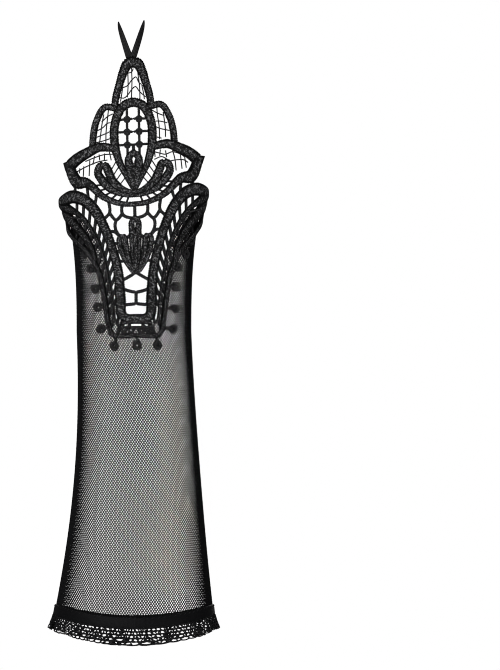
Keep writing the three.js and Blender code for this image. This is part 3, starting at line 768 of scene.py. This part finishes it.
# The frill. It hangs less far at the sides, and its top is tucked into the band. SWING_TOP and
# SWING_GAIN are the pleats' swing at the band and what it gains below. PLEAT_SPREAD has a row for each
# sine that spreads the pleats unevenly: size in pleats, waves round the hem, and phase.
FRILL_DROP, FRILL_PLEATS, FRILL_SIDE_LIFT = 9.6, 21, 2.0
FRILL_THICKNESS, FRILL_TUCK, SCALLOP, DROP_WAVE = 0.6, 0.7, 0.05, 0.25
PLEAT_DEPTH, SWING_TOP, SWING_GAIN = 12, 0.95, 0.5
PLEAT_SPREAD = [[0.34, 3, 0], [0.16, 5, 1], [0.1, 11, 2]]
HOLES_PER_PLEAT, HOLE_ROWS, HOLE_POINTS, HOLE_RADIUS = 6, 5, 12, 0.42
HOLE_WIDTH, HOLE_HEIGHT = 3.1, 1.75


def gathered(run, share):
    """Place along the hem, in pleats, and depth in mm of a gathered strip: the line whose heading is a
    sine of its run, with a swing that grows with the share of the way down. j0 to j3 are the first terms
    of the Bessel functions of the swing, which give that line its length."""
    uneven = 1 + 0.14 * np.sin(2.6 * run + 1) + 0.1 * np.sin(1.3 * run)
    swing = (SWING_TOP + SWING_GAIN * share) * uneven
    phase = 2 * np.pi * run
    j0 = 1 - swing**2 / 4 + swing**4 / 64 - swing**6 / 2304
    j1 = swing / 2 - swing**3 / 16 + swing**5 / 384
    j2 = swing**2 / 8 - swing**4 / 96 + swing**6 / 3072
    j3 = swing**3 / 48 - swing**5 / 768
    along = run + (j2 * np.sin(2 * phase)) / j0 / (2 * np.pi)
    depth = -(2 * j1 * np.cos(phase) + 2 / 3 * j3 * np.cos(3 * phase)) / j0 / (2 * np.pi)
    return along, depth * PLEAT_DEPTH


def pierced_strip(across):
    """The strip lying flat: oval holes in brick order, each cell a ring of quads between its hole and
    twelve points of its border. Spots in cells along and down, the ends meeting, and the quads."""
    cosine, sine = round_section(HOLE_POINTS)
    border = np.array([[0.5, 0], [0.5, 0.5], [0.25, 0.5], [0, 0.5], [-0.25, 0.5], [-0.5, 0.5],
                       [-0.5, 0], [-0.5, -0.5], [-0.25, -0.5], [0, -0.5], [0.25, -0.5], [0.5, -0.5]])
    hole = np.stack([HOLE_RADIUS * cosine, HOLE_RADIUS * sine], -1)
    column, row = np.meshgrid(np.arange(across), np.arange(HOLE_ROWS), indexing="ij")
    centre = np.stack([column + 0.5 * (row % 2), row + 0.5], -1)[:, :, None, :]
    flat = np.concatenate([centre + border, centre + hole], 2).reshape(-1, 2)
    key = np.round(np.stack([flat[:, 0] % across, flat[:, 1]], -1) * 1000).astype(np.int64)
    _, first, number = np.unique(key, axis=0, return_index=True, return_inverse=True)
    cell = np.arange(across * HOLE_ROWS)[:, None] * 2 * HOLE_POINTS
    here = np.arange(HOLE_POINTS)[None, :]
    beside = (here + 1) % HOLE_POINTS
    inner = cell + HOLE_POINTS
    quads = np.stack([cell + here, inner + here, inner + beside, cell + beside], -1).reshape(-1, 4)
    return flat[first], number.reshape(-1)[quads]


def frill():
    """The pierced strip, folded by the gathered line round the hem. Its pleats are spread unevenly, lean
    a little, and flare from the band down."""
    spots, quads = pierced_strip(FRILL_PLEATS * HOLES_PER_PLEAT)
    down = spots[:, 1] / HOLE_ROWS
    scallop = np.where(down > 0.99, SCALLOP * np.abs(np.cos(np.pi * spots[:, 0])), 0)
    run = spots[:, 0] / HOLES_PER_PLEAT
    turn = 2 * np.pi * run / FRILL_PLEATS
    spread = run
    for size, waves, phase in PLEAT_SPREAD:
        spread = spread + size * np.sin(waves * turn + phase)
    along, depth = gathered(spread, down)
    along = along - (spread - run)
    lean = 0.03 * np.sin(4 * turn + 0.5) + 0.1
    angle = 2 * np.pi * (along + lean * depth * down) / FRILL_PLEATS
    share = down + scallop
    drop = (FRILL_DROP - FRILL_SIDE_LIFT * np.sin(angle) ** 2) * share
    drop = drop + DROP_WAVE * np.sin(2 * np.pi * spread + 1) * share
    top = hem_line(angle) - BAND_HEIGHT / 2 + FRILL_TUCK
    lift = 1.1 + down * (1.7 - 2.2 * np.sin(angle) ** 4) + depth * (0.8 - 0.35 * np.sin(angle) ** 4)
    points = on_arm(angle, top - drop, lift)[0]
    lie = np.stack([spots[:, 0] * HOLE_WIDTH, spots[:, 1] * HOLE_HEIGHT, 0 * down], -1)
    return points, [quads], lie


FINGER_RADIUS, FINGER_ASIDE, FINGER_FORWARD = 6.9, 1.5, 8.7
LOOP_FOOT, LOOP_RISE, LOOP_LEAN, BACK_ROUNDING = 319.9, 23.3, 0.02, 0.03
LOOP_LIFT, LOOP_HALF_WIDTH, LOOP_HALF_WALL = 0.5, 1.9, 0.48
EDGE_POWER, FACE_POWER, RIB_DEPTH, HALF_RIBS = 0.6, 0.7, 0.06, 5


def strap_loop(columns=150, sides=12):
    """The finger loop: a flat rounded section carried round the finger, rising from the motif's point to
    both sides and falling again behind, where its low point is rounded."""
    angle = 2 * np.pi * np.arange(columns) / columns
    sine = np.sin(angle)
    back = np.clip(-np.cos(angle), 0, 1) * BACK_ROUNDING
    rise = np.sqrt(sine**2 + back) - (np.sqrt(1 + back) - 1)
    radius = FINGER_RADIUS + LOOP_LIFT
    path = np.stack([-FINGER_ASIDE + radius * sine, -FINGER_FORWARD - radius * np.cos(angle),
                     LOOP_FOOT + LOOP_RISE * rise * (1 + LOOP_LEAN * sine)], -1)
    along = unit(np.roll(path, -1, 0) - np.roll(path, 1, 0))
    out = np.stack([sine, -np.cos(angle), 0 * angle], -1)
    aside = unit(np.cross(out, along))
    cosine, height = round_section(sides)
    wide, thick = squared(cosine, EDGE_POWER), squared(height, FACE_POWER)
    rib = 1 + RIB_DEPTH * np.cos(HALF_RIBS * np.pi * wide)
    points = (path[:, None] + aside[:, None] * (LOOP_HALF_WIDTH * wide)[:, None]
              + out[:, None] * (LOOP_HALF_WALL * thick * rib)[:, None])
    run = length_along(path)[:, None] + 0 * wide
    lie = np.stack([run, wide + 0 * run, thick + 0 * run], -1)
    return points.reshape(-1, 3), tube_faces(columns, sides, closed=True, turned=True), lie.reshape(-1, 3)


class Tree:
    """Nodes and links of a material, a world or a group, added to by short calls."""

    def __init__(self, tree):
        self.nodes, self.links = tree.nodes, tree.links

    def add(self, kind, **settings):
        """A new shader node of a kind, with its properties set."""
        node = self.nodes.new("ShaderNode" + kind)
        for name, value in settings.items():
            setattr(node, name, value)
        return node

    def feed(self, node, **inputs):
        """Link or set a node's inputs, named with _ for a space."""
        for name, given in inputs.items():
            self.put(node.inputs[name.replace("_", " ")], given)

    def put(self, socket, given):
        """Link an output to a socket, or set the socket's own value."""
        if isinstance(given, bpy.types.NodeSocket):
            self.links.new(given, socket)
        else:
            socket.default_value = given

    def math(self, operation, *inputs):
        """Output of a math node."""
        node = self.add("Math", operation=operation)
        for socket, given in zip(node.inputs, inputs):
            self.put(socket, given)
        return node.outputs[0]

    def mixed(self, *inputs):
        """Output of a mix of two shaders by a share."""
        node = self.add("MixShader")
        for socket, given in zip(node.inputs, inputs):
            self.put(socket, given)
        return node.outputs[0]

    def lie(self):
        """The piece's lie at a point, as its three numbers."""
        split = self.add("SeparateXYZ")
        self.put(split.inputs[0], self.add("Attribute", attribute_name="lie").outputs["Vector"])
        return split.outputs


# The tone group's inputs and their defaults. The flank shade input paints shade on the sides of round cords
# and threads.
THREAD_SOCKETS = {"Along": 1.0, "Across": 1.0, "Low": 0.4, "High": 0.7, "Flank Shade": 0.0, "Floor": 0.0}
# The share round the section over which that painted flank shade sets in.
FLANK_SHADE_START, FLANK_SHADE_END = 0.38, 0.8


def thread_tone_and_painted_light_group():
    """Shader group: the threads' tone by chance, and painted light. It puts out a fine height, from noise
    stretched along the stitches, and a mask of brighter threads: the noise between Low and High, no less
    than Floor, times 1 less the flank shade input towards the section's flanks. Where a finish makes its
    brighter threads far paler than the dark, the mask paints glints of light on the threads, and the flank
    term paints shade on the sides of round cords."""
    group = bpy.data.node_groups.new("thread tone and painted light", "ShaderNodeTree")
    for name, value in THREAD_SOCKETS.items():
        socket = group.interface.new_socket(name, in_out="INPUT", socket_type="NodeSocketFloat")
        socket.default_value = value
    for name in ("Mask", "Fine"):
        group.interface.new_socket(name, in_out="OUTPUT", socket_type="NodeSocketFloat")
    tree = Tree(group)
    given = group.nodes.new("NodeGroupInput").outputs
    put = group.nodes.new("NodeGroupOutput")
    run, round_it, strength = tree.lie()
    scaled = tree.add("CombineXYZ")
    tree.feed(scaled, X=tree.math("MULTIPLY", run, given["Along"]),
              Y=tree.math("MULTIPLY", round_it, given["Across"]), Z=strength)
    noise = tree.add("TexNoise")
    tree.feed(noise, Scale=1.0, Detail=3.0, Roughness=0.65, Vector=scaled.outputs[0])
    mask = tree.add("MapRange", interpolation_type="SMOOTHSTEP")
    tree.feed(mask, Value=noise.outputs[0], From_Min=given["Low"], From_Max=given["High"])
    under = tree.add("MapRange", interpolation_type="SMOOTHSTEP")
    tree.feed(under, Value=tree.math("ABSOLUTE", round_it), From_Min=FLANK_SHADE_START, From_Max=FLANK_SHADE_END)
    floored = tree.math("MAXIMUM", mask.outputs[0], given["Floor"])
    left = tree.math("SUBTRACT", 1.0, tree.math("MULTIPLY", under.outputs[0], given["Flank Shade"]))
    tree.feed(put, Mask=tree.math("MULTIPLY", floored, left), Fine=noise.outputs[0])
    return group


THREAD_TONE_AND_PAINTED_LIGHT = thread_tone_and_painted_light_group()
BUMP_DISTANCE = 0.0004
ROUGHER, SMOOTHER = 0.12, 0.1


def cloth_finish(name, dark, light, roughness, tone, bump, specular, rib=None):
    """A cloth finish: dark thread with lighter threads by the tone group's mask, a bump from its fine
    height, and ribs across or along the piece where rib is given as axis, count a unit and depth. tone has
    the group's inputs in their order. The lighter threads are random tone where light is close to dark, and
    painted glints where light is far paler than the dark thread."""
    finish = bpy.data.materials.new(name)
    finish.use_nodes = True
    tree = Tree(finish.node_tree)
    threads = tree.add("Group", node_tree=THREAD_TONE_AND_PAINTED_LIGHT)
    tree.feed(threads, **dict(zip(THREAD_SOCKETS, tone)))
    ramp = tree.add("Mix", data_type="RGBA")
    tree.feed(ramp, A=(*dark, 1), B=(*light, 1), Factor=threads.outputs["Mask"])
    rough = tree.add("MapRange")
    tree.feed(rough, Value=threads.outputs["Fine"], To_Min=roughness + ROUGHER, To_Max=roughness - SMOOTHER)
    height = threads.outputs["Fine"]
    if rib:
        axis, count, depth = rib
        wave = tree.math("SINE", tree.math("MULTIPLY", tree.lie()[axis], count * 2 * math.pi))
        height = tree.math("MULTIPLY_ADD", wave, depth, height)
    bumped = tree.add("Bump")
    tree.feed(bumped, Strength=bump, Distance=BUMP_DISTANCE, Height=height)
    tree.feed(tree.nodes["Principled BSDF"], Base_Color=ramp.outputs["Result"], Roughness=rough.outputs[0],
              Specular_IOR_Level=specular, Normal=bumped.outputs[0])
    return finish


NET_FINISH = cloth_finish("black net thread", (0.002, 0.002, 0.0025), (0.008, 0.008, 0.009), 0.75,
                          (2.5, 2.5, 0.4, 0.7, 0, 0), 0.3, 0.1)
SATIN = cloth_finish("satin elastic", (0.003, 0.003, 0.0035), (0.006, 0.006, 0.0065), 0.55,
                     (0.9, 5.0, 0.3, 0.8, 0, 0), 0.15, 0.06, (0, 1.6, 0.3))
EDGING = cloth_finish("lace edging", (0.003, 0.003, 0.0035), (0.02, 0.02, 0.022), 0.6,
                      (2.4, 2.4, 0.45, 0.7, 0, 0.1), 0.5, 0.12, (0, 1.4, 0.4))
# The lace's thread is black. The pale light colours of these three finishes are painted glints, and the
# fifth tone value paints shade on the sides of the round cords. The border's painted glints are dimmer, so
# its cords come out darker overall.
STITCHED = cloth_finish("guipure stitching", (0.001, 0.001, 0.0012), (0.26, 0.26, 0.268), 0.55,
                        (1.0, 2.2, 0.5, 0.63, 1.0, 0.05), 0.8, 0.1, (0, 2.6, 0.5))
BORDER_STITCH = cloth_finish("border stitching", (0.001, 0.001, 0.0012), (0.16, 0.16, 0.165), 0.6,
                             (1.3, 2.4, 0.5, 0.64, 1.0, 0.05), 0.8, 0.08, (0, 2.6, 0.5))
ROUND_THREAD = cloth_finish("twisted lace thread", (0.0015, 0.0015, 0.002), (0.09, 0.09, 0.093), 0.6,
                            (1.6, 2.2, 0.48, 0.7, 0.9, 0.1), 0.5, 0.1, (0, 1.8, 0.4))
LOOP_RIB = cloth_finish("ribbed loop elastic", (0.006, 0.006, 0.0065), (0.012, 0.012, 0.013), 0.55,
                        (1.6, 5.0, 0.4, 0.7, 0, 0), 0.4, 0.15, (1, 2.5, 0.6))

UPPER_CORDS = ("arch", "oval", "bud", "budFill", "shoulder", "leaf", "hornInside", "hornOutside")
LOWER_CORDS = ("shield", "middleBud", "middleFill", "sideBudInside", "sideBudOutside")
BORDER_CORDS = ("border", "edge", "wingRail", "wingFill", "footFill")

# The pieces. One that stands for a CAD node names it last.
hand_net = new_piece("hand_side_net", net_panel(False, NET_THREAD), NET_FINISH, "net_sleeve",
                     smooth=False)
palm_net = new_piece("palm_side_net", net_panel(True, PALM_THREAD), NET_FINISH, "net_sleeve",
                     smooth=False)
seams = new_piece("net_seams_and_binding", joined(sleeve_cords()), ROUND_THREAD)

new_piece("satin_hem_band", hem_band(), SATIN, "elastic_band")
new_piece("hem_stitches", joined(hem_stitches()), ROUND_THREAD)

edging = new_piece("gathered_lace_frill", frill(), EDGING, "lace_frill")
wall = edging.modifiers.new("thread thickness", "SOLIDIFY")
wall.thickness = FRILL_THICKNESS * MM
wall.offset = 0.0

new_piece("lace_cords_flower", joined(lace_cords(UPPER_CORDS)), STITCHED, "lace_motif")
new_piece("lace_cords_shield", joined(lace_cords(LOWER_CORDS)), STITCHED, "lace_motif")
new_piece("lace_cords_border", joined(lace_cords(BORDER_CORDS)), BORDER_STITCH, "lace_motif")
new_piece("lace_bars", joined(lace_bars()), ROUND_THREAD)
new_piece("lace_picots_and_knots", joined(lace_picots()), ROUND_THREAD)
new_piece("petal_threads", joined(petal_threads()), ROUND_THREAD)

new_piece("finger_loop_strap", strap_loop(), LOOP_RIB, "finger_loop")


# Soft lights. Columns: place in metres, side in metres, and power in watts.
LIGHTS = {
    "key light": ((-0.7, -1.3, 0.9), 0.6, 20),
    "fill light": ((0.9, -1.3, 0.3), 1.0, 7),
    "back light": ((0.2, 1.4, 0.6), 1.0, 9),
}
LIGHT_AIM = np.array([0.0, 0.0, 0.16])
WHITE, PALE = (1, 1, 1, 1), (0.9, 0.9, 0.9, 1)
WORLD_SEEN, WORLD_LIGHT = 1.0, 0.12
FLOOR_SIDE, FLOOR_LEVEL, FLOOR_GLOW = 3.0, -0.6, 0.72


def soft_light(name, place, size, power):
    """A square soft light, aimed at the mitten."""
    data = bpy.data.lights.new(name, "AREA")
    data.shape, data.size, data.energy = "SQUARE", size, power
    light = bpy.data.objects.new(name, data)
    away = np.array(place) - LIGHT_AIM
    level = math.hypot(away[0], away[1])
    light.location = place
    light.rotation_euler = (math.atan2(level, away[2]), 0, math.atan2(away[1], away[0]) + math.pi / 2)
    bpy.context.collection.objects.link(light)


def white_surroundings():
    """White to the camera, and a weak white light on the piece."""
    world = bpy.data.worlds.new("white studio")
    bpy.context.scene.world = world
    world.use_nodes = True
    tree = Tree(world.node_tree)
    seen, lit = tree.nodes["Background"], tree.add("Background")
    tree.feed(seen, Color=WHITE, Strength=WORLD_SEEN)
    tree.feed(lit, Color=WHITE, Strength=WORLD_LIGHT)
    by_camera = tree.add("LightPath").outputs["Is Camera Ray"]
    tree.feed(tree.nodes["World Output"], Surface=tree.mixed(by_camera, lit.outputs[0], seen.outputs[0]))


def pale_floor():
    """A floor far below that glows nearly white for the camera and is clear from underneath."""
    side, low = FLOOR_SIDE, FLOOR_LEVEL
    mesh = bpy.data.meshes.new("pale_floor")
    corners = [(-side, -side, low), (side, -side, low), (side, side, low), (-side, side, low)]
    mesh.from_pydata(corners, [], [(0, 1, 2, 3)])
    floor = bpy.data.objects.new("pale_floor", mesh)
    pale = bpy.data.materials.new("pale floor")
    pale.use_nodes = True
    tree = Tree(pale.node_tree)
    matt, clear = tree.nodes["Principled BSDF"], tree.add("BsdfTransparent")
    glow = tree.math("MULTIPLY", tree.add("LightPath").outputs["Is Camera Ray"], FLOOR_GLOW)
    tree.feed(matt, Base_Color=PALE, Roughness=0.9, Emission_Color=WHITE, Emission_Strength=glow)
    below = tree.add("NewGeometry").outputs["Backfacing"]
    tree.feed(tree.nodes["Material Output"], Surface=tree.mixed(below, matt.outputs[0], clear.outputs[0]))
    mesh.materials.append(pale)
    bpy.context.collection.objects.link(floor)


white_surroundings()
for name, (place, size, power) in LIGHTS.items():
    soft_light(name, place, size, power)
pale_floor()
scene = bpy.context.scene
scene.view_settings.view_transform = "Standard"
scene.view_settings.look = "None"
scene.cycles.filter_width = 1.0
